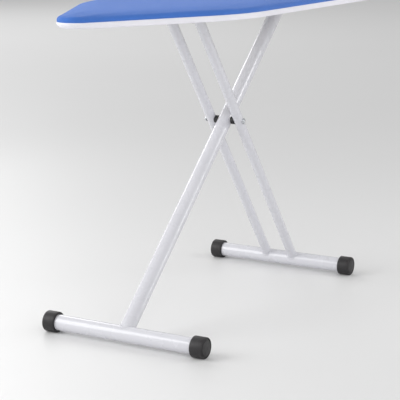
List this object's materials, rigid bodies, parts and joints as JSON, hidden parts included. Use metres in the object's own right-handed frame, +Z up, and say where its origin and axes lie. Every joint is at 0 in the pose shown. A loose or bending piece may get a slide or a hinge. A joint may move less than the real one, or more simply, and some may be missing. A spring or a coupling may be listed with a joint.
{
  "type": "ironing board",
  "caption": "Free-standing folding ironing board with a pointed padded top, a crossed single and paired tube stand, and two capped foot bars.",
  "frame": {"origin": "on the floor, under the middle of the board", "axes": "+X from the nose to the square tail, +Y across the board, +Z up"},
  "size_m": [1.35, 0.46, 0.811],
  "materials": {
    "board_steel": "white gloss powder coat",
    "leg_steel": "white gloss powder coat",
    "cover_fabric": "plain blue cotton with a silicone face",
    "binding_fabric": "white bias binding",
    "elastic": "knitted elastic cord",
    "foam": "open-cell foam and felt",
    "cap_rubber": "charcoal rubber, satin",
    "black_plastic": "black nylon",
    "nylon": "natural nylon",
    "grip_plastic": "black moulded plastic",
    "zinc_steel": "bright zinc plate"
  },
  "bodies": {
    "board": {"cover": "cover_fabric", "cover_binding": "binding_fabric", "hem_elastic": "elastic", "foam_pad": "foam", "perforated_top": "board_steel", "rim_tube": "board_steel", "front_crossmember": "board_steel", "hinge_crossmember": "board_steel", "middle_crossmember": "board_steel", "rear_crossmember": "board_steel", "slide_channel": "board_steel", "channel_screws": "zinc_steel", "hinge_bracket_left": "board_steel", "hinge_bracket_right": "board_steel", "bracket_rivets": "zinc_steel", "hinge_pins": "zinc_steel", "hinge_clips": "zinc_steel", "release_bearings": "zinc_steel"},
    "release_lever": {"release_rod": "zinc_steel", "latch_comb": "zinc_steel", "lever_grip": "grip_plastic", "release_spring": "zinc_steel"},
    "pair_leg": {"pair_tube_left": "leg_steel", "pair_tube_right": "leg_steel", "pair_top_plugs": "black_plastic", "rear_foot_tube": "leg_steel", "rear_cap_left": "cap_rubber", "rear_cap_right": "cap_rubber", "pivot_bolt": "zinc_steel", "pivot_nut": "zinc_steel", "pivot_washers": "zinc_steel", "pivot_spacer_left": "black_plastic", "pivot_spacer_right": "black_plastic", "crush_sleeves": "zinc_steel"},
    "single_leg": {"single_tube": "leg_steel", "pivot_bush": "nylon", "front_foot_tube": "leg_steel", "front_cap_left": "cap_rubber", "front_cap_right": "cap_rubber", "slide_head": "black_plastic", "slide_axle": "zinc_steel", "slide_washers": "nylon", "retaining_washers": "zinc_steel", "axle_clips": "zinc_steel"}
  },
  "joints": [
    {"name": "stand_fold", "type": "hinge", "parent": "board", "child": "pair_leg", "pos_m": [-0.16021, 0, 0.762], "axis": [0, -1, 0], "range_deg": [0, 50.9]},
    {"name": "scissor_pivot", "type": "hinge", "parent": "pair_leg", "child": "single_leg", "pos_m": [0.056, 0, 0.479], "axis": [0, 1, 0], "range_deg": [0, 91.5]},
    {"name": "release_squeeze", "type": "hinge", "parent": "board", "child": "release_lever", "pos_m": [0.4, 0.034, 0.776], "axis": [1, 0, 0], "range_deg": [0, 8], "stiffness_Nm_per_rad": 2, "springref_deg": -11.46}
  ],
  "couplings": [
    {"joint": "scissor_pivot", "follows": "stand_fold", "ratio": 1.7946}
  ]
}
